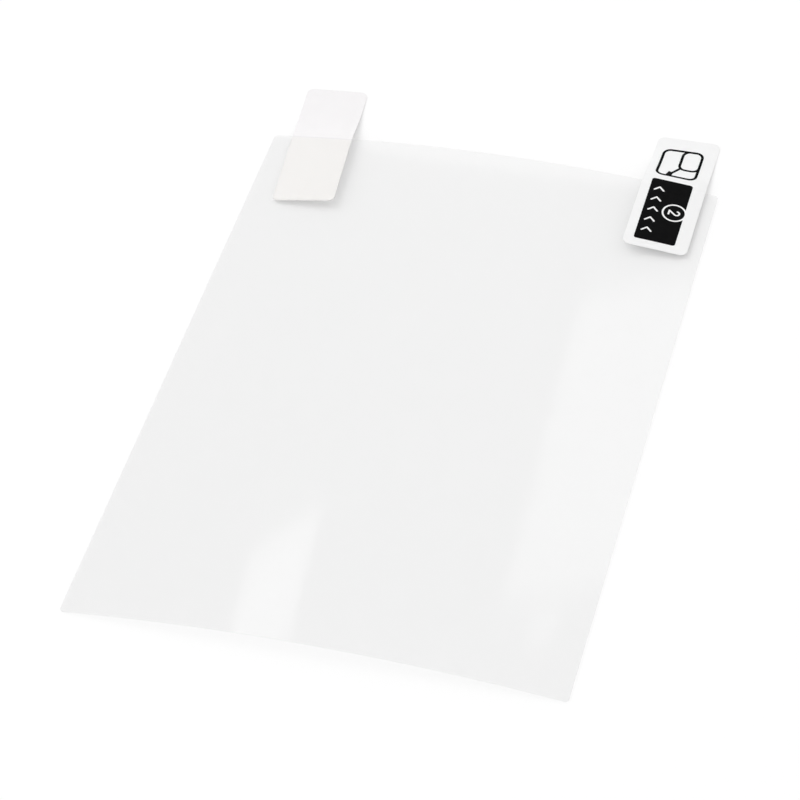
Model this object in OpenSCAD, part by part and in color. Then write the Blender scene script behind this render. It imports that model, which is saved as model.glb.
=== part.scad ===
// Screen protector for a radio display, as it comes out of its sleeve: a clear film
// between two clear liners, each liner with a white pull tab. The sheet lies on its
// two long edges and arches up between them. X runs across the sheet, Y along it
// towards the pull tabs, Z up from the surface that it lies on.

/* [Sheet] */
// Width of the sheet across its arch, edge to edge
film_w = 71; // [60:1:130]
// Length of the sheet along its straight edges
film_l = 100; // [60:1:200]
// Height of the arch at its middle
arch_rise = 2.4; // [1.6:0.1:5]
// Radius of the four corners
corner_r = 0.6; // [0.3:0.1:4]

/* [Layers] */
// Thickness of the back liner, which covers the adhesive
back_liner_t = 0.05; // [0.03:0.01:0.15]
// Thickness of the protector film itself
film_t = 0.2; // [0.1:0.01:0.5]
// Thickness of the front liner, which covers the outer face
front_liner_t = 0.05; // [0.03:0.01:0.15]

/* [Pull tabs] */
// Width of both pull tabs
tab_w = 9.8; // [8.6:0.1:16]
// Thickness of the label stock of the pull tabs
tab_t = 0.1; // [0.06:0.01:0.16]
// Thickness of the adhesive that holds a pull tab on its liner
glue_t = 0.02; // [0.01:0.005:0.04]
// Radius of the pull tabs' corners
tab_corner_r = 1.1; // [0.4:0.1:3]
// Length of the front tab
front_tab_l = 26.4; // [20.5:0.1:40]
// Length of the front tab that is stuck on the front liner
front_tab_lap = 14.4; // [13.2:0.1:18]
// Distance from the sheet's right edge to the front tab, at the sheet's top edge
front_tab_inset = 2.0; // [0.5:0.1:8]
// Turn of the front tab from the sheet's long edges, in degrees
front_tab_turn = -0.3; // [-2:0.1:2]
// Length of the back tab
back_tab_l = 27.3; // [20.5:0.1:40]
// Length of the back tab that is stuck under the back liner
back_tab_lap = 14.6; // [8:0.1:18]
// Distance from the sheet's left edge to the back tab, at the sheet's top edge
back_tab_inset = 2.9; // [2.6:0.1:8]
// Turn of the back tab from the sheet's long edges, in degrees
back_tab_turn = 4.6; // [0:0.1:8]
// Straight run of a tab past the sheet before it bends down to the surface
tab_grip = 1.5; // [1.4:0.1:2]
// Length at a tab's tip that lies flat on the surface
tab_flat = 1.5; // [0.5:0.1:3]

/* [Print] */
// Thickness of the printed ink
ink_t = 0.02; // [0.01:0.005:0.04]
// Width of the black field
field_w = 6.3; // [6:0.05:7]
// Length of the black field
field_l = 13.65; // [13:0.05:14]
// Radius of the black field's corners
field_corner_r = 0.4; // [0.2:0.05:1]
// Distance from the tab's left edge to the black field
field_left = 1.45; // [0.6:0.05:1.8]
// Distance from the tab's lower end to the black field
field_foot = 1.55; // [0.6:0.05:2]
// Outer radius of the ring round the numeral
ring_r = 1.9; // [1.6:0.05:2.1]
// Width of the ring's line and of the light strokes in the field
light_line = 0.3; // [0.2:0.02:0.4]
// Distance from the field's right edge to the ring's middle
ring_right = 1.55; // [1.3:0.05:1.8]
// Distance from the field's lower edge to the ring's middle
ring_foot = 6.95; // [5:0.05:9]
// Pitch of the row of pull arrows
arrow_pitch = 2.3; // [2:0.05:2.6]
// Width of one pull arrow
arrow_w = 1.7; // [1.2:0.05:1.8]
// Width of the peel pictogram
picto_w = 6.5; // [5:0.1:6.6]
// Radius of the pictogram's corners
picto_corner_r = 1.3; // [0.6:0.1:1.4]
// Width of the pictogram's line
picto_line = 0.42; // [0.3:0.02:0.6]
// Distance from the black field's upper edge to the pictogram
picto_gap = 1.2; // [0.8:0.05:1.6]
// Distance from the pictogram to the tab's tip
picto_tip = 2.55; // [1.2:0.05:4]

/* [Hidden] */
$fn = 96;

arrows = 5;                     // pull arrows in the row
arch_fn = 1440;                 // fine enough for the shallow arch
slack = 1;                      // stock past an outline before it is cut out
weld = 0.005;                   // how far a free half's faces sink into its stuck half
weld_run = 0.6;                 // how far a free half reaches into its stuck half
cols = 8;                       // columns of a free half's surface
rows = 16;                      // rows of a free half's surface
sky = 20;                       // height of the prisms that cut the sheets out

arch_r = (film_w * film_w / 4 + arch_rise * arch_rise) / (2 * arch_rise);
axis_z = arch_rise - arch_r;

back_liner_r = arch_r;
film_r = back_liner_r + back_liner_t;
front_liner_r = film_r + film_t;
top_r = front_liner_r + front_liner_t;
front_tab_r = top_r;
front_stock_r = front_tab_r + glue_t;
print_r = front_stock_r + tab_t;
back_stock_r = back_liner_r - glue_t - tab_t;

// How far past the sheet the tip of a turned tab comes
function tip(out, turn) = out * cos(turn) + tab_w / 2 * sin(abs(turn))
    - tab_corner_r * (cos(turn) + sin(abs(turn)) - 1);

front_tab_out = front_tab_l - front_tab_lap;
back_tab_out = back_tab_l - back_tab_lap;
tip_out = max(tip(front_tab_out, front_tab_turn), tip(back_tab_out, back_tab_turn));

// The origin is at the middle of the whole part's box
top_edge = (film_l - tip_out) / 2;
low_edge = top_edge - film_l;

front_tab_x = film_w / 2 - front_tab_inset - tab_w / 2;
back_tab_x = -film_w / 2 + back_tab_inset + tab_w / 2;

// Places of the print, from the front tab's middle line and the sheet's top edge
field_x = field_left - tab_w / 2;
field_y = field_foot - front_tab_lap;
ring_x = field_x + field_w - ring_right;
ring_y = field_y + ring_foot;
arrow_x = field_x + (ring_x - ring_r - field_x) / 2 + light_line / 4;
picto_x = field_x + (field_w - picto_w) / 2;
picto_y = field_y + field_l + picto_gap;
picto_l = front_tab_out - picto_tip - picto_y;

// Height of the arch of radius r at x
function arch_z(r, x) = sqrt(r * r - x * x) + axis_z;

// Share of the arch's height that a free half still has at y, with a run of bend
function hang(y, run) = pow(1 - min(1, max(0, (y - top_edge - tab_grip) / run)), 2);

// Outline of a rounded rectangle from its lower left corner
module rounded(w, l, r) {
    translate([r, 0]) square([w - 2 * r, l]);
    translate([0, r]) square([w, l - 2 * r]);
    for (x = [r, w - r])
        for (y = [r, l - r])
            translate([x, y]) circle(r);
}

// A straight stroke with round ends
module stroke(from, to, line) {
    run = to - from;
    translate(from)
        rotate(atan2(run[1], run[0]))
            translate([0, -line / 2])
                square([norm(run), line]);
    for (end = [from, to])
        translate(end) circle(line / 2);
}

// Strokes through a list of points
module strokes(points, line) {
    for (i = [1 : len(points) - 1])
        stroke(points[i - 1], points[i], line);
}

// A layer of the arch from radius r outwards, between two places along Y. It is a whole
// tube round the arch's axis: its top is the arch, and the cutters leave only that.
module arch_layer(r, t, y0, y1) {
    translate([0, 0, axis_z])
        rotate([90, 0, 0])
            rotate_extrude($fn = arch_fn)
                translate([r, -y1])
                    square([t, y1 - y0]);
}

// A prism over an outline, tall enough to cut any layer
module cutter() {
    translate([0, 0, -sky / 2])
        linear_extrude(sky)
            children();
}

// One layer of the sheet, cut to its outline
module sheet(r, t) {
    intersection() {
        arch_layer(r, t, low_edge - slack, top_edge + slack);
        cutter()
            translate([-film_w / 2, low_edge])
                rounded(film_w, film_l, corner_r);
    }
}

// The free half of a tab: it leaves the arch of radius r and comes down to the surface.
// up lifts the whole sheet above that, for ink that lies on a label.
module free_half(r, up, t, x0, x1, out) {
    y0 = top_edge + tab_grip - weld_run;
    y1 = top_edge + out + slack;
    run = out - tab_grip - tab_flat;
    points = [
        for (side = [0, 1])
            for (j = [0 : rows])
                for (i = [0 : cols])
                    let (
                        x = x0 + (x1 - x0) * i / cols,
                        y = y0 + (y1 - y0) * j / rows
                    )
                    [x, y, arch_z(r, x) * hang(y, run) + up + side * t]
    ];
    function at(side, j, i) = (side * (rows + 1) + j) * (cols + 1) + i;
    upper = [
        for (j = [0 : rows - 1])
            for (i = [0 : cols - 1])
                each [
                    [at(1, j, i), at(1, j + 1, i), at(1, j + 1, i + 1)],
                    [at(1, j, i), at(1, j + 1, i + 1), at(1, j, i + 1)]
                ]
    ];
    lower = [
        for (j = [0 : rows - 1])
            for (i = [0 : cols - 1])
                each [
                    [at(0, j, i), at(0, j + 1, i + 1), at(0, j + 1, i)],
                    [at(0, j, i), at(0, j, i + 1), at(0, j + 1, i + 1)]
                ]
    ];
    ends = [
        for (i = [0 : cols - 1])
            each [
                [at(0, 0, i), at(1, 0, i), at(1, 0, i + 1), at(0, 0, i + 1)],
                [at(0, rows, i), at(0, rows, i + 1), at(1, rows, i + 1), at(1, rows, i)]
            ]
    ];
    sides = [
        for (j = [0 : rows - 1])
            each [
                [at(0, j + 1, 0), at(1, j + 1, 0), at(1, j, 0), at(0, j, 0)],
                [at(0, j, cols), at(1, j, cols), at(1, j + 1, cols), at(0, j + 1, cols)]
            ]
    ];
    polyhedron(points, concat(upper, lower, ends, sides), convexity = 4);
}

// Turns a ground plan about the point where a tab's middle line leaves the sheet
module on_tab(x, turn) {
    translate([x, top_edge])
        rotate(turn)
            children();
}

// Ground plan of a tab
module tab_outline(x, turn, l, lap) {
    on_tab(x, turn)
        translate([-tab_w / 2, -lap])
            rounded(tab_w, l, tab_corner_r);
}

// The numeral 2, upright, in the middle of the ring
module numeral() {
    bowl = 0.42;
    tall = 1.9;
    foot = -tall / 2 + light_line / 2;
    head = tall / 2 - light_line / 2 - bowl;
    start = 170;
    end = -30;
    far = 2 * tall;
    translate([0, head]) {
        difference() {
            circle(bowl + light_line / 2);
            circle(bowl - light_line / 2);
            polygon([
                [0, 0],
                far * [cos(start), sin(start)],
                [-far, -far],
                far * [cos(end), sin(end)]
            ]);
        }
        translate(bowl * [cos(start), sin(start)]) circle(light_line / 2);
    }
    stroke([bowl * cos(end), head + bowl * sin(end)], [-bowl, foot], light_line);
    stroke([-bowl, foot], [bowl, foot], light_line);
}

// One pull arrow, pointing at the tab's free end
module pull_arrow() {
    reach = arrow_w / 2 - light_line / 2;
    strokes([[-reach, -reach / 2], [0, reach / 2], [reach, -reach / 2]], light_line);
}

// What is left light in the black field
module field_lights() {
    translate([ring_x, ring_y]) {
        difference() {
            circle(ring_r);
            circle(ring_r - light_line);
        }
        rotate(-90) numeral();
    }
    for (i = [0 : arrows - 1])
        translate([arrow_x, ring_y + (i - (arrows - 1) / 2) * arrow_pitch])
            pull_arrow();
}

// A line round a rounded rectangle, from its lower left corner
module frame(w, l, r, line) {
    difference() {
        rounded(w, l, r);
        translate([line, line]) rounded(w - 2 * line, l - 2 * line, r - line);
    }
}

// A display in its case, with a film peeled off it by the corner
module pictogram() {
    r = min(picto_corner_r, picto_l / 5);
    low = [0.47 * picto_w, 0.31 * picto_l];
    fold = [0.4 * picto_w, 0.17 * picto_l];
    frame(picto_w, picto_l, r, picto_line);
    translate(low) frame(picto_w - low[0], picto_l - low[1], r, picto_line);
    stroke(fold, low + [r, r] / 3, picto_line);
    polygon([
        [0.26 * picto_w, picto_line / 2], [0.31 * picto_w, 0.21 * picto_l],
        fold + [picto_line, 0] / 3, [0.4 * picto_w, picto_line / 2]
    ]);
}

// Ink all over the front tab: on its stuck half, and on its free half past the straight run
module ink_layer() {
    bend = top_edge + tab_grip;
    arch_layer(print_r, ink_t, top_edge - front_tab_lap - slack, bend);
    intersection() {
        free_half(
            front_stock_r + weld, tab_t - 2 * weld, ink_t,
            front_tab_x - tab_w, front_tab_x + tab_w, front_tab_out
        );
        cutter()
            translate([front_tab_x - 2 * tab_w, bend])
                square([4 * tab_w, front_tab_out]);
    }
}

module back_liner() {
    color([0.86, 0.88, 0.90, 0.45])
        sheet(back_liner_r, back_liner_t);
}

module protector_film() {
    color([0.90, 0.91, 0.92, 0.5])
        sheet(film_r, film_t);
}

module front_liner() {
    color([0.86, 0.88, 0.90, 0.45])
        sheet(front_liner_r, front_liner_t);
}

module back_tab() {
    color([0.96, 0.955, 0.945])
        intersection() {
            union() {
                arch_layer(
                    back_stock_r, tab_t + glue_t,
                    top_edge - back_tab_lap - tab_w, top_edge + tab_grip
                );
                free_half(
                    back_stock_r + weld, 0, tab_t - 2 * weld,
                    back_tab_x - tab_w, back_tab_x + tab_w, back_tab_out
                );
            }
            cutter() tab_outline(back_tab_x, back_tab_turn, back_tab_l, back_tab_lap);
        }
}

module front_tab() {
    color([0.97, 0.97, 0.97])
        intersection() {
            union() {
                arch_layer(
                    front_tab_r, tab_t + glue_t,
                    top_edge - front_tab_lap - slack, top_edge + tab_grip
                );
                free_half(
                    front_stock_r + weld, 0, tab_t - 2 * weld,
                    front_tab_x - tab_w, front_tab_x + tab_w, front_tab_out
                );
            }
            cutter() tab_outline(front_tab_x, front_tab_turn, front_tab_l, front_tab_lap);
        }
}

module tab_print_field() {
    color([0.07, 0.07, 0.075])
        intersection() {
            ink_layer();
            cutter()
                on_tab(front_tab_x, front_tab_turn)
                    difference() {
                        union() {
                            translate([field_x, field_y])
                                rounded(field_w, field_l, field_corner_r);
                            translate([ring_x, ring_y]) circle(ring_r - light_line);
                        }
                        field_lights();
                    }
        }
}

module tab_print_pictogram() {
    color([0.07, 0.07, 0.075])
        intersection() {
            ink_layer();
            cutter()
                on_tab(front_tab_x, front_tab_turn)
                    translate([picto_x, picto_y])
                        pictogram();
        }
}

back_liner();
protector_film();
front_liner();
back_tab();
front_tab();
tab_print_field();
tab_print_pictogram();
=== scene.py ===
"""Screen protector for a radio display: a clear film between two clear liners, each
liner with a white pull tab. The sheet lies on its long edges and arches up between them.

Sizes are in millimetres in the classes and become metres when a mesh is made.
"""

import logging
import math
from collections.abc import Callable, Iterable
from dataclasses import dataclass
from enum import Enum, IntEnum

import bmesh
import bpy
from mathutils import Matrix, Vector

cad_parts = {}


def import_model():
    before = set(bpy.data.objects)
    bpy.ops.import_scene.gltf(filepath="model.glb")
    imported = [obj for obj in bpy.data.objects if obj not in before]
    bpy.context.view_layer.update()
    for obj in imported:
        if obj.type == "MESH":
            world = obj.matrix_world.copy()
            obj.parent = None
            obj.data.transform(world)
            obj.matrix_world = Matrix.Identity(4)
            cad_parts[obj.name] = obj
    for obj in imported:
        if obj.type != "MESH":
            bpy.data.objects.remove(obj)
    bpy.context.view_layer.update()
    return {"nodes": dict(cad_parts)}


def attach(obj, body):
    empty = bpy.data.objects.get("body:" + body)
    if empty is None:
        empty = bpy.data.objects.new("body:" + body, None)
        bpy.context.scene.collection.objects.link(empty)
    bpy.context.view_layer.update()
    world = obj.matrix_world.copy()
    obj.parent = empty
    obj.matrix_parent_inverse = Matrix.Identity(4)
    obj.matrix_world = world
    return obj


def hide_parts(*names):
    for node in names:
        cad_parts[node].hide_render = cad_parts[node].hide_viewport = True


LOG = logging.getLogger("screen_protector")
MM = 0.001
BODY = "root"
HAIRLINE = 0.003  # air between two layers that touch, so that their faces stay apart
PRINT_GAP = 0.001  # air between the print and the label under it
FLOOR_DROP = 0.02  # how far the floor lies below what rests on it
SHARP_ANGLE = 35.0  # degrees between two faces from which their edge stays sharp
CORNER_CUTS = 7  # columns in each rounded corner of a plan
NOISE_LOW, NOISE_HIGH = 0.3, 0.7  # between these lie most of a noise's values
POLYESTER_IOR = 1.58
LABEL_IOR = 1.5

Height = Callable[[float, float], float]


class Slot(Enum):
    """The record's material slots."""

    FILM = "clear_film"
    BACK_LABEL = "back_label"
    FRONT_LABEL = "front_label"
    INK = "black_ink"


class Side(Enum):
    """Which face of the sheet a pull tab is stuck on."""

    FRONT = 1
    BACK = -1


class Finish(IntEnum):
    """Place of a leaf's materials in its list."""

    FACE = 0
    RIM = 1
    WET = 2


# --------------------------------------------------------------------------- materials


def linear(code: str) -> tuple[float, float, float, float]:
    """Turns an sRGB hex colour to linear RGBA.

    Args:
        code: The colour as "#RRGGBB".

    Returns:
        Linear red, green and blue, and an alpha of 1.
    """
    levels = [int(code[i : i + 2], 16) / 255 for i in (1, 3, 5)]
    rgb = [v / 12.92 if v <= 0.04045 else ((v + 0.055) / 1.055) ** 2.4 for v in levels]
    return (rgb[0], rgb[1], rgb[2], 1.0)


def add_node(
    tree: bpy.types.NodeTree,
    kind: str,
    settings: dict[str, object] | None = None,
    inputs: dict[str | int, object] | None = None,
) -> bpy.types.Node:
    """Adds a node with its settings, and sets or links its inputs.

    Args:
        tree: The node tree.
        kind: The node's type name.
        settings: Attributes of the node.
        inputs: Input sockets by name or index, each with a value or an output socket.

    Returns:
        The new node.
    """
    node = tree.nodes.new(kind)
    for name, value in (settings or {}).items():
        setattr(node, name, value)
    for name, value in (inputs or {}).items():
        if isinstance(value, bpy.types.NodeSocket):
            tree.links.new(value, node.inputs[name])
        else:
            node.inputs[name].default_value = value
    return node


def new_tree(name: str) -> tuple[bpy.types.Material, bpy.types.NodeTree]:
    """Makes a material with an empty node tree.

    Args:
        name: The material's name.

    Returns:
        The material and its node tree.
    """
    material = bpy.data.materials.new(name)
    material.use_nodes = True
    material.node_tree.nodes.clear()
    return material, material.node_tree


def noise(
    tree: bpy.types.NodeTree,
    size: float,
    detail: float,
    stretch: tuple[float, float, float] = (1, 1, 1),
) -> bpy.types.NodeSocket:
    """Adds a noise whose blotches have a size in millimetres on the object.

    Args:
        tree: The node tree.
        size: Size of a blotch in millimetres.
        detail: How many finer octaves the noise has.
        stretch: How many times longer a blotch is along each axis.

    Returns:
        The noise's value, from 0 to 1.
    """
    place = add_node(tree, "ShaderNodeTexCoord").outputs["Object"]
    scale = [1 / (size * MM * s) for s in stretch]
    mapped = add_node(tree, "ShaderNodeMapping", None, {"Vector": place, "Scale": scale})
    found = add_node(
        tree,
        "ShaderNodeTexNoise",
        None,
        {"Vector": mapped.outputs[0], "Scale": 1.0, "Detail": detail},
    )
    return found.outputs[0]


def spread(
    tree: bpy.types.NodeTree, value: bpy.types.NodeSocket, low: float, high: float
) -> bpy.types.NodeSocket:
    """Spreads the middle of a noise over a range.

    Args:
        tree: The node tree.
        value: A value that lies mostly between NOISE_LOW and NOISE_HIGH.
        low: What NOISE_LOW becomes.
        high: What NOISE_HIGH becomes.

    Returns:
        The new value.
    """
    inputs = {
        "Value": value,
        "From Min": NOISE_LOW,
        "From Max": NOISE_HIGH,
        "To Min": low,
        "To Max": high,
    }
    return add_node(tree, "ShaderNodeMapRange", None, inputs).outputs[0]


def show(tree: bpy.types.NodeTree, kind: str, inputs: dict[str | int, object]) -> None:
    """Adds a material's shader and links it to the material's output.

    Args:
        tree: The node tree.
        kind: The shader's type name.
        inputs: Its input sockets, each with a value or an output socket.
    """
    shader = add_node(tree, kind, None, inputs)
    add_node(tree, "ShaderNodeOutputMaterial", None, {"Surface": shader.outputs[0]})


def mottle(tree: bpy.types.NodeTree, size: float, tone: str, shade: str) -> bpy.types.Node:
    """Adds a colour that drifts between two hex colours.

    Args:
        tree: The node tree.
        size: Size of a blotch in millimetres.
        tone: The one colour.
        shade: The other.

    Returns:
        The mix node, whose output 2 is the colour.
    """
    cloud = spread(tree, noise(tree, size, 3.0), 0.0, 1.0)
    return add_node(
        tree,
        "ShaderNodeMix",
        {"data_type": "RGBA"},
        {0: cloud, 6: linear(tone), 7: linear(shade)},
    )


@dataclass(frozen=True)
class ClearFilm:
    """Clear polyester film, cast and then slit: glossy, with the long low waves that it
    keeps from the roll, which bend the lights that it mirrors."""

    name: str
    tint: str
    veil: float
    roughness: float
    wave: float = 26.0
    wave_stretch: float = 2.2
    wave_height: float = 0.035
    haze_blotch: float = 9.0
    haze_drift: float = 0.15
    coat_ior: float = 1.5

    def build(self) -> bpy.types.Material:
        """Returns the film's material."""
        material, tree = new_tree(self.name)
        waves = noise(tree, self.wave, 0.0, (1, self.wave_stretch, 1))
        bump = add_node(
            tree,
            "ShaderNodeBump",
            None,
            {"Height": waves, "Strength": 1.0, "Distance": self.wave_height * MM},
        )
        haze = spread(
            tree,
            noise(tree, self.haze_blotch, 2.0),
            self.roughness * (1 - self.haze_drift),
            self.roughness * (1 + self.haze_drift),
        )
        show(
            tree,
            "ShaderNodeBsdfPrincipled",
            {
                "Base Color": linear(self.tint),
                "Roughness": haze,
                "IOR": POLYESTER_IOR,
                "Alpha": self.veil,
                "Normal": bump.outputs[0],
                "Coat Weight": 1.0,
                "Coat Roughness": self.roughness,
                "Coat IOR": self.coat_ior,
            },
        )
        return material


@dataclass(frozen=True)
class CutEdge:
    """Slit edge of the clear films: its grey tint is painted shade for the thin grey line
    that the edge shows, where light is caught in the film and leaves it there."""

    name: str
    tint: str
    veil: float
    roughness: float = 0.3

    def build(self) -> bpy.types.Material:
        """Returns the edge's material."""
        material, tree = new_tree(self.name)
        show(
            tree,
            "ShaderNodeBsdfPrincipled",
            {
                "Base Color": linear(self.tint),
                "Roughness": self.roughness,
                "IOR": POLYESTER_IOR,
                "Alpha": self.veil,
            },
        )
        return material


@dataclass(frozen=True)
class Label:
    """White label stock: paper, bare on its reverse and clay-coated on its face. Light
    goes into it by its depth, in millimetres, and comes out again all round."""

    name: str
    tone: str
    shade: str
    stuck_tone_and_painted_light: str
    roughness: float
    fibre: float
    fibre_height: float
    fibre_stretch: float = 1.8
    cloud_size: float = 3.5
    rough_blotch: float = 2.0
    rough_drift: float = 0.04
    stuck_edge_blur: float = 0.15
    depth: float = 0.05

    def build(self, edge: float) -> bpy.types.Material:
        """Makes the label's material.

        Args:
            edge: Place along Y of the sheet's far edge, in millimetres. Short of it the
            stock has its stuck tone: lighter on the front label, which is painted
            light, and darker and warmer on the back label.

        Returns:
            The material.
        """
        material, tree = new_tree(self.name)
        free = mottle(tree, self.cloud_size, self.tone, self.shade)
        place = add_node(tree, "ShaderNodeTexCoord").outputs["Object"]
        along = add_node(tree, "ShaderNodeSeparateXYZ", None, {0: place}).outputs["Y"]
        past = add_node(
            tree,
            "ShaderNodeMapRange",
            None,
            {
                "Value": along,
                "From Min": (edge - self.stuck_edge_blur) * MM,
                "From Max": (edge + self.stuck_edge_blur) * MM,
            },
        )
        # Stuck tone short of the sheet's edge, mottled tone past it; where the stuck tone
        # is lighter, as on the front label, it is painted light.
        colour = add_node(
            tree,
            "ShaderNodeMix",
            {"data_type": "RGBA"},
            {0: past.outputs[0], 6: linear(self.stuck_tone_and_painted_light), 7: free.outputs[2]},
        )
        bump = add_node(
            tree,
            "ShaderNodeBump",
            None,
            {
                "Height": noise(tree, self.fibre, 4.0, (1, self.fibre_stretch, 1)),
                "Strength": 1.0,
                "Distance": self.fibre_height * MM,
            },
        )
        rough = spread(
            tree,
            noise(tree, self.rough_blotch, 2.0),
            self.roughness - self.rough_drift,
            self.roughness + self.rough_drift,
        )
        show(
            tree,
            "ShaderNodeBsdfPrincipled",
            {
                "Base Color": colour.outputs[2],
                "Roughness": rough,
                "IOR": LABEL_IOR,
                "Normal": bump.outputs[0],
                "Subsurface Weight": 1.0,
                "Subsurface Radius": (1.0, 1.0, 1.0),
                "Subsurface Scale": self.depth * MM,
            },
        )
        return material


@dataclass(frozen=True)
class Ink:
    """Black printing ink on a coated label: a satin skin, a little uneven."""

    name: str
    tone: str
    shade: str
    roughness: float
    cloud_size: float = 0.8
    rough_blotch: float = 1.2
    rough_drift: float = 0.05
    gloss: float = 0.03

    def build(self) -> bpy.types.Material:
        """Returns the ink's material."""
        material, tree = new_tree(self.name)
        colour = mottle(tree, self.cloud_size, self.tone, self.shade)
        rough = spread(
            tree,
            noise(tree, self.rough_blotch, 2.0),
            self.roughness - self.rough_drift,
            self.roughness + self.rough_drift,
        )
        show(
            tree,
            "ShaderNodeBsdfPrincipled",
            {
                "Base Color": colour.outputs[2],
                "Roughness": rough,
                "IOR": LABEL_IOR,
                "Specular IOR Level": self.gloss,
            },
        )
        return material


FILM = ClearFilm("clear_film", "#CCCCCC", 0.09, 0.06)
WET_FILM = ClearFilm("wetted_film", "#CCCCCC", 0.015, 0.06)
# The cut edge's grey tint is painted shade.
EDGE = CutEdge("cut_edge", "#A9ABAD", 0.05)
# The front label's stuck tone, lighter than its free tones, is painted light; the back
# label's stuck tone is darker and warmer than its free tones.
BACK_STOCK = Label(
    "label_reverse", "#F5F3F4", "#F4F2F3", "#F3F1EF", 0.72, 0.35, 0.006, depth=0.02
)
FRONT_STOCK = Label(
    "label_face", "#F6F6F6", "#F5F5F5", "#FBFBFB", 0.5, 0.3, 0.002
)
INK = Ink("black_ink", "#0B0B0C", "#0F0F10", 0.55)


# --------------------------------------------------------------------------- the shapes


@dataclass(frozen=True)
class Layers:
    """Thicknesses of what lies in the sheet and on it."""

    back_liner: float = 0.05
    film: float = 0.2
    front_liner: float = 0.05
    glue: float = 0.02
    label: float = 0.1
    ink: float = 0.02


@dataclass(frozen=True)
class Arch:
    """The bow of the sheet: a part of a circle across its width, straight along it."""

    width: float = 71.0
    length: float = 100.0
    rise: float = 2.4
    corner: float = 0.6
    reach: float = 12.9674

    @property
    def radius(self) -> float:
        """Radius of the sheet's underside."""
        return (self.width**2 / 4 + self.rise**2) / (2 * self.rise)

    @property
    def top_edge(self) -> float:
        """Place along Y of the sheet's far edge."""
        return (self.length - self.reach) / 2

    @property
    def low_edge(self) -> float:
        """Place along Y of the sheet's near edge."""
        return self.top_edge - self.length

    def height(self, offset: float, x: float) -> float:
        """Height of the arch at a place across it.

        Args:
            offset: Distance above the sheet's underside.
            x: The place.

        Returns:
            The height above what the sheet lies on.
        """
        radius = self.radius
        return math.sqrt((radius + offset) ** 2 - x * x) + self.rise - radius


@dataclass(frozen=True)
class Plan:
    """A rounded rectangle seen from above, turned about a point of its middle line."""

    width: float
    low: float
    high: float
    corner: float
    pivot: tuple[float, float] = (0.0, 0.0)
    turn: float = 0.0

    def columns(self, step: float) -> list[tuple[float, float, float]]:
        """Cuts the plan into columns, closer together in its corners.

        Args:
            step: The widest column.

        Returns:
            The place of each cut, and where it starts and ends.
        """
        half = self.width / 2
        inner = half - self.corner
        arc = [math.pi / 2 * k / CORNER_CUTS for k in range(CORNER_CUTS)]
        run = max(1, math.ceil(2 * inner / step))
        places = [-inner - self.corner * math.cos(a) for a in arc]
        places += [-inner + 2 * inner * k / run for k in range(run + 1)]
        places += [inner + self.corner * math.cos(a) for a in reversed(arc)]
        found = []
        for u in places:
            past = min(self.corner, max(0.0, abs(u) - inner))
            cut = self.corner - math.sqrt(max(0.0, self.corner**2 - past**2))
            found.append((u, self.low + cut, self.high - cut))
        return found

    def place(self, u: float, v: float) -> tuple[float, float]:
        """Turns and moves a point of the plan to its place on the object.

        Args:
            u: Place across the plan.
            v: Place along it.

        Returns:
            X and Y on the object.
        """
        c, s = math.cos(math.radians(self.turn)), math.sin(math.radians(self.turn))
        return (self.pivot[0] + c * u - s * v, self.pivot[1] + s * u + c * v)


def leaf(
    name: str, plan: Plan, step: float, lower: Height, upper: Height
) -> bpy.types.Object:
    """Builds a thin closed sheet between two surfaces over a plan.

    Args:
        name: The piece's name.
        plan: Its outline from above.
        step: The widest face.
        lower: Height of the lower surface.
        upper: Height of the upper surface.

    Returns:
        The new object. The faces round its rim have the rim's material.
    """
    columns = plan.columns(step)
    rows = max(2, math.ceil((plan.high - plan.low) / step))
    mesh = bmesh.new()
    layers = []
    for surface in (lower, upper):
        grid = []
        for u, start, end in columns:
            line = []
            for j in range(rows + 1):
                x, y = plan.place(u, start + (end - start) * j / rows)
                line.append(mesh.verts.new((x * MM, y * MM, surface(x, y) * MM)))
            grid.append(line)
        layers.append(grid)
    last = len(columns) - 1
    for i in range(last):
        for j in range(rows):
            low, high = layers
            mesh.faces.new((high[i][j], high[i + 1][j], high[i + 1][j + 1], high[i][j + 1]))
            mesh.faces.new((low[i][j], low[i][j + 1], low[i + 1][j + 1], low[i + 1][j]))
    rim = [(i, 0) for i in range(last)] + [(last, j) for j in range(rows)]
    rim += [(i, rows) for i in range(last, 0, -1)] + [(0, j) for j in range(rows, 0, -1)]
    for (i, j), (k, m) in zip(rim, rim[1:] + rim[:1]):
        low, high = layers
        face = mesh.faces.new((low[i][j], low[k][m], high[k][m], high[i][j]))
        face.material_index = Finish.RIM
    return to_object(name, mesh)


def to_object(name: str, mesh: bmesh.types.BMesh) -> bpy.types.Object:
    """Makes an object of a finished mesh, smooth but for its sharp edges.

    Args:
        name: The piece's name.
        mesh: Its mesh, which is freed.

    Returns:
        The new object.
    """
    data = bpy.data.meshes.new(name)
    mesh.to_mesh(data)
    mesh.free()
    data.shade_smooth()
    data.set_sharp_from_angle(angle=math.radians(SHARP_ANGLE))
    piece = bpy.data.objects.new(name, data)
    bpy.context.scene.collection.objects.link(piece)
    return piece


def settle(
    piece: bpy.types.Object,
    nodes: Iterable[str],
    finishes: Iterable[bpy.types.Material],
) -> None:
    """Dresses a piece and puts it in the place of CAD nodes.

    Args:
        piece: The piece.
        nodes: The CAD nodes that it stands for.
        finishes: Its materials in order.
    """
    for finish in finishes:
        piece.data.materials.append(finish)
    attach(piece, BODY)
    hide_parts(*nodes)
    LOG.info("%s: %d faces", piece.name, len(piece.data.polygons))


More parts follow.
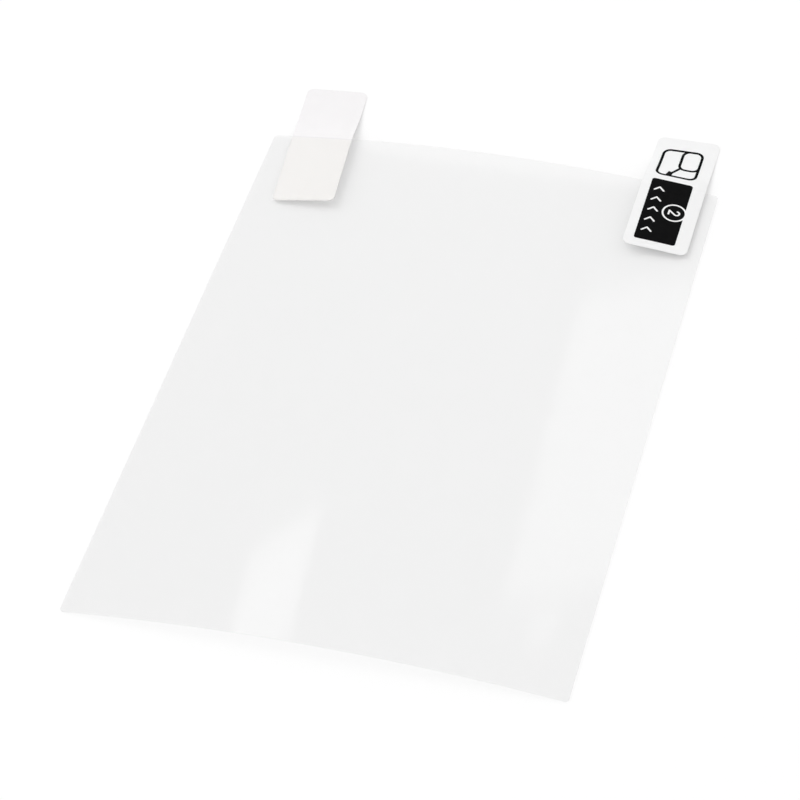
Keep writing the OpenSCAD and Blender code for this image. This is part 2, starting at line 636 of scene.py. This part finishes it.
@dataclass
class PullTab:
    """A pull tab: one half stuck on a liner, the other half free past the sheet's top
    edge, where it comes down to the surface."""

    arch: Arch
    layers: Layers
    node: str
    side: Side
    length: float
    lap: float
    middle: float
    turn: float = 0.0
    width: float = 9.8
    corner: float = 1.1
    grip: float = 1.5
    flat: float = 1.5
    glue_end: float = 0.4
    step: float = 0.3

    @property
    def stock(self) -> float:
        """Height of the label stock's lower face above the sheet's underside."""
        thin = self.layers
        if self.side is Side.FRONT:
            return thin.back_liner + thin.film + thin.front_liner + thin.glue
        return -thin.glue - thin.label

    def hang(self, y: float) -> float:
        """Share of the arch's height that the tab has at a place along Y.

        Args:
            y: The place.

        Returns:
            1 on the sheet, falling to 0 where the tip lies on the surface.
        """
        run = self.length - self.lap - self.grip - self.flat
        past = min(1.0, max(0.0, (y - self.arch.top_edge - self.grip) / run))
        return (1 - past) ** 2

    def glued(self, y: float) -> float:
        """How much the adhesive fills the gap to the sheet at a place along Y.

        Args:
            y: The place.

        Returns:
            1 on the sheet, falling to 0 just past its edge.
        """
        return 1 - min(1.0, max(0.0, (y - self.arch.top_edge) / self.glue_end))

    def lower(self, x: float, y: float) -> float:
        """Height of the label stock's lower face, with its adhesive where it is stuck.

        Args:
            x: Place across the sheet.
            y: Place along it.

        Returns:
            The height.
        """
        bare = self.arch.height(self.stock, x) * self.hang(y)
        if self.side is Side.FRONT:
            return bare - (self.layers.glue - HAIRLINE) * self.glued(y)
        return bare

    def upper(self, x: float, y: float) -> float:
        """Height of the label's upper face, with its adhesive where it is stuck.

        Args:
            x: Place across the sheet.
            y: Place along it.

        Returns:
            The height.
        """
        bare = self.arch.height(self.stock, x) * self.hang(y) + self.layers.label
        if self.side is Side.BACK:
            return bare + (self.layers.glue - HAIRLINE) * self.glued(y)
        return bare

    def build(self, finish: bpy.types.Material, slot: Slot) -> None:
        """Builds the tab.

        Args:
            finish: Its material.
            slot: The record's slot of that material; not used.
        """
        plan = Plan(
            self.width,
            -self.lap,
            self.length - self.lap,
            self.corner,
            (self.middle, self.arch.top_edge),
            self.turn,
        )
        piece = leaf(f"{self.node}_label", plan, self.step, self.lower, self.upper)
        settle(piece, (self.node,), (finish, finish))


@dataclass
class Laminate:
    """The sheet itself: back liner, protector film and front liner, cut as one. They lie
    on each other without air, so they show as one clear sheet. A label is stuck under it,
    whose adhesive wets the liner, so the sheet has less haze there."""

    arch: Arch
    layers: Layers
    label: PullTab
    step: float = 1.0

    def wet(self, piece: bpy.types.Object) -> None:
        """Cuts the sheet round the label's stuck half and gives those faces the wetted
        film's material.

        Args:
            piece: The sheet.
        """
        label = self.label
        turn = math.radians(label.turn)
        across = Vector((math.cos(turn), math.sin(turn), 0))
        along = Vector((-math.sin(turn), math.cos(turn), 0))
        root = Vector((label.middle, self.arch.top_edge, 0))
        half = label.width / 2
        mesh = bmesh.new()
        mesh.from_mesh(piece.data)
        for normal, distance in ((across, half), (across, -half), (along, -label.lap)):
            bmesh.ops.bisect_plane(
                mesh,
                geom=mesh.verts[:] + mesh.edges[:] + mesh.faces[:],
                plane_co=(root + normal * distance) * MM,
                plane_no=normal,
            )
        for face in mesh.faces:
            spot = face.calc_center_median() / MM - root
            beside = abs(spot.dot(across)) > half
            inside = not beside and spot.dot(along) > -label.lap
            if inside and face.material_index == Finish.FACE:
                face.material_index = Finish.WET
        mesh.to_mesh(piece.data)
        mesh.free()

    def build(self) -> None:
        """Builds the sheet."""
        arch, thin = self.arch, self.layers
        thick = thin.back_liner + thin.film + thin.front_liner
        piece = leaf(
            "clear_sheet",
            Plan(arch.width, arch.low_edge, arch.top_edge, arch.corner),
            self.step,
            lambda x, y: arch.height(0.0, x),
            lambda x, y: arch.height(thick - HAIRLINE, x),
        )
        self.wet(piece)
        nodes = ("protector_film", "back_liner", "front_liner")
        finishes = (FILM.build(), EDGE.build(), WET_FILM.build())
        settle(piece, nodes, finishes)


@dataclass
class Print:
    """The ink on the front tab. It takes its outlines from the CAD solids and lies
    closely on the tab's curved face."""

    tab: PullTab
    step: float = 0.4

    def lay(self, source: bpy.types.Object) -> bmesh.types.BMesh:
        """Copies a CAD solid of the print, cuts it finely and lays it on the tab.

        Args:
            source: The CAD node's object, which stays as it is.

        Returns:
            The new mesh.
        """
        tab, ink = self.tab, self.tab.layers.ink
        mesh = bmesh.new()
        mesh.from_mesh(source.data)
        side = mesh.verts.layers.float.new("side")
        for vert in mesh.verts:
            x, y, z = (c / MM for c in vert.co)
            vert[side] = 1.0 if z > tab.upper(x, y) + ink / 2 else 0.0
        for axis in (0, 1):
            places = [vert.co[axis] for vert in mesh.verts]
            cuts = int((max(places) - min(places)) / (self.step * MM))
            for k in range(1, cuts + 1):
                point = Vector((0, 0, 0))
                point[axis] = min(places) + (max(places) - min(places)) * k / (cuts + 1)
                normal = Vector((0, 0, 0))
                normal[axis] = 1
                bmesh.ops.bisect_plane(
                    mesh,
                    geom=mesh.verts[:] + mesh.edges[:] + mesh.faces[:],
                    plane_co=point,
                    plane_no=normal,
                )
        for vert in mesh.verts:
            x, y = vert.co.x / MM, vert.co.y / MM
            vert.co.z = (tab.upper(x, y) + PRINT_GAP + ink * vert[side]) * MM
        return mesh

    def build(self, nodes: dict[str, bpy.types.Object]) -> None:
        """Builds the black field and the pictogram.

        Args:
            nodes: The CAD nodes by name.
        """
        ink = INK.build()
        for name in ("tab_print_field", "tab_print_pictogram"):
            piece = to_object(f"{name}_ink", self.lay(nodes[name]))
            settle(piece, (name,), (ink,))


# --------------------------------------------------------------------------- the studio


@dataclass
class Lamp:
    """A flat soft lamp that looks at the sheet. Its bearing is from +Y towards -X and its
    height from the floor, in degrees; its sides are in metres; a radiance of 1 is white."""

    name: str
    bearing: float
    height: float
    sides: tuple[float, float]
    radiance: float
    roll: float = 0.0
    distance: float = 3.0

    def build(self) -> None:
        """Builds the lamp."""
        data = bpy.data.lights.new(self.name, "AREA")
        data.shape = "RECTANGLE"
        data.size, data.size_y = self.sides
        data.energy = self.radiance * math.pi * self.sides[0] * self.sides[1]
        lamp = bpy.data.objects.new(self.name, data)
        turn, lift = math.radians(self.bearing), math.radians(self.height)
        away = Vector(
            (
                -math.sin(turn) * math.cos(lift),
                math.cos(turn) * math.cos(lift),
                math.sin(lift),
            )
        )
        across = Vector((0, 0, 1)).cross(away).normalized()
        along = away.cross(across)
        lean = math.radians(self.roll)
        side = across * math.cos(lean) + along * math.sin(lean)
        axes = Matrix((side, away.cross(side), away)).transposed().to_4x4()
        lamp.matrix_world = Matrix.Translation(away * self.distance) @ axes
        bpy.context.scene.collection.objects.link(lamp)


@dataclass
class Studio:
    """A white sweep, a soft lamp at the upper left, and even light all round. The sweep
    glows a little where it shows, as the lit paper of a shooting table does, and so its
    shadows are thin.

    What a gloss mirrors of the world is the dot product of the ray's way with mirrored,
    plus mirrored_base, kept between mirrored_least and 1: white low behind the sheet, and
    dim overhead."""

    fill: float = 0.78
    glow: float = 0.35
    paper_tone: float = 0.85
    mirrored: tuple[float, float, float] = (1.0, 4.0, 0.0)
    mirrored_base: float = -1.7
    mirrored_least: float = 0.2
    floor_size: float = 8.0
    lamps: tuple[Lamp, ...] = (
        Lamp("key", 80.0, 50.0, (2.0, 2.0), 2.3),
        Lamp("back_panel", -3.0, 48.2, (0.5, 0.37), 2.45, roll=11.0),
        Lamp("side_panel", 27.8, 49.8, (0.2, 0.3), 3.4, roll=-12.0),
        Lamp("small_panel", -1.6, 52.7, (0.09, 0.035), 2.6, roll=11.0),
    )

    def seen(self, tree: bpy.types.NodeTree) -> bpy.types.NodeSocket:
        """Adds what tells a ray that shows the background from one that lights.

        Args:
            tree: The node tree.

        Returns:
            1 for rays of the camera, of a gloss or through something clear.
        """
        path = add_node(tree, "ShaderNodeLightPath").outputs
        total = path["Is Camera Ray"]
        for name in ("Is Glossy Ray", "Is Transmission Ray"):
            total = add_node(
                tree, "ShaderNodeMath", {"operation": "MAXIMUM"}, {0: total, 1: path[name]}
            ).outputs[0]
        return total

    def world(self) -> None:
        """Makes the world: white where it shows, and the fill light elsewhere. A gloss
        mirrors a white backdrop behind the sheet and a dimmer ceiling over it."""
        world = bpy.data.worlds.new("studio")
        bpy.context.scene.world = world
        world.use_nodes = True
        tree = world.node_tree
        tree.nodes.clear()
        strength = add_node(
            tree,
            "ShaderNodeMapRange",
            None,
            {"Value": self.seen(tree), "To Min": self.fill, "To Max": 1.0},
        )
        way = add_node(tree, "ShaderNodeTexCoord").outputs["Generated"]
        lean = add_node(
            tree,
            "ShaderNodeVectorMath",
            {"operation": "DOT_PRODUCT"},
            {0: way, 1: self.mirrored},
        )
        backdrop = add_node(
            tree,
            "ShaderNodeMath",
            {"operation": "ADD", "use_clamp": True},
            {0: lean.outputs["Value"], 1: self.mirrored_base},
        )
        mirrored = add_node(
            tree,
            "ShaderNodeMath",
            {"operation": "MAXIMUM"},
            {0: backdrop.outputs[0], 1: self.mirrored_least},
        )
        gloss = add_node(tree, "ShaderNodeLightPath").outputs["Is Glossy Ray"]
        level = add_node(
            tree,
            "ShaderNodeMix",
            None,
            {0: gloss, 2: strength.outputs[0], 3: mirrored.outputs[0]},
        )
        back = add_node(
            tree,
            "ShaderNodeBackground",
            None,
            {"Color": (1, 1, 1, 1), "Strength": level.outputs[0]},
        )
        add_node(tree, "ShaderNodeOutputWorld", None, {"Surface": back.outputs[0]})

    def floor(self) -> None:
        """Makes the white floor, which keeps the sheet's shadow."""
        half = self.floor_size / 2
        mesh = bpy.data.meshes.new("floor")
        corners = [(-half, -half, 0), (half, -half, 0), (half, half, 0), (-half, half, 0)]
        mesh.from_pydata(corners, [], [(0, 1, 2, 3)])
        floor = bpy.data.objects.new("floor", mesh)
        floor.location.z = -FLOOR_DROP * MM
        bpy.context.scene.collection.objects.link(floor)
        material, tree = new_tree("white_floor")
        seen = self.seen(tree)
        shade, glow = (
            add_node(
                tree, "ShaderNodeMapRange", None, {"Value": seen, "To Min": a, "To Max": b}
            ).outputs[0]
            for a, b in ((self.paper_tone, 1.0), (0.0, self.glow))
        )
        paper = add_node(tree, "ShaderNodeBsdfDiffuse", None, {"Color": shade})
        light = add_node(tree, "ShaderNodeEmission", None, {"Strength": 1.0})
        mix = {0: glow, 1: paper.outputs[0], 2: light.outputs[0]}
        show(tree, "ShaderNodeMixShader", mix)
        mesh.materials.append(material)

    def build(self) -> None:
        """Builds the floor, the world and the lamps."""
        bpy.context.scene.view_settings.view_transform = "Standard"
        self.world()
        self.floor()
        for lamp in self.lamps:
            lamp.build()


@dataclass
class Camera:
    """The camera at the photograph's viewing angle. Angles are in degrees, the distance
    and the sensor in millimetres, and the clip distances in metres. The focal length, the
    picture's width and the offset of the sheet's middle from the picture's middle are in
    pixels."""

    bearing: float = -18.9405
    height: float = 45.8770
    roll: float = -4.8507
    focal: float = 2985.4
    offset: tuple[float, float] = (7.752, 7.056)
    distance: float = 430.714
    picture: float = 800.0
    sensor: float = 36.0
    clip: tuple[float, float] = (0.01, 20.0)

    def build(self, middle: Vector) -> None:
        """Places the camera.

        Args:
            middle: The point below the sheet's middle, in millimetres.
        """
        turn, lift, roll = (math.radians(a) for a in (self.bearing, self.height, self.roll))
        ahead = Vector(
            (
                math.sin(turn) * math.cos(lift),
                math.cos(turn) * math.cos(lift),
                -math.sin(lift),
            )
        )
        right = Vector((math.cos(turn), -math.sin(turn), 0))
        up = right.cross(ahead)
        across = right * math.cos(roll) + up * math.sin(roll)
        along = up * math.cos(roll) - right * math.sin(roll)
        shift = [o * self.distance / self.focal for o in self.offset]
        place = middle - across * shift[0] - along * shift[1] - ahead * self.distance
        data = bpy.data.cameras.new("camera")
        data.sensor_width = self.sensor
        data.lens = self.focal / self.picture * self.sensor
        data.clip_start, data.clip_end = self.clip
        camera = bpy.data.objects.new("camera", data)
        axes = Matrix((across, along, -ahead)).transposed().to_4x4()
        camera.matrix_world = Matrix.Translation(place * MM) @ axes
        bpy.context.scene.collection.objects.link(camera)
        bpy.context.scene.camera = camera


def main() -> None:
    """Builds the sheet, its tabs and the studio, and reports each piece."""
    logging.basicConfig(level=logging.INFO, format="%(name)s: %(message)s")
    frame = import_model()
    arch, layers = Arch(), Layers()
    back = PullTab(
        arch, layers, "back_tab", Side.BACK, length=27.3, lap=14.6, middle=-27.7, turn=4.6
    )
    front = PullTab(
        arch, layers, "front_tab", Side.FRONT, length=26.4, lap=14.4, middle=28.6, turn=-0.3
    )
    Laminate(arch, layers, back).build()
    back.build(BACK_STOCK.build(arch.top_edge), Slot.BACK_LABEL)
    front.build(FRONT_STOCK.build(arch.top_edge), Slot.FRONT_LABEL)
    Print(front).build(frame["nodes"])
    Studio().build()
    Camera().build(Vector((0, (arch.top_edge + arch.low_edge) / 2, 0)))


if __name__ == "__main__":
    main()
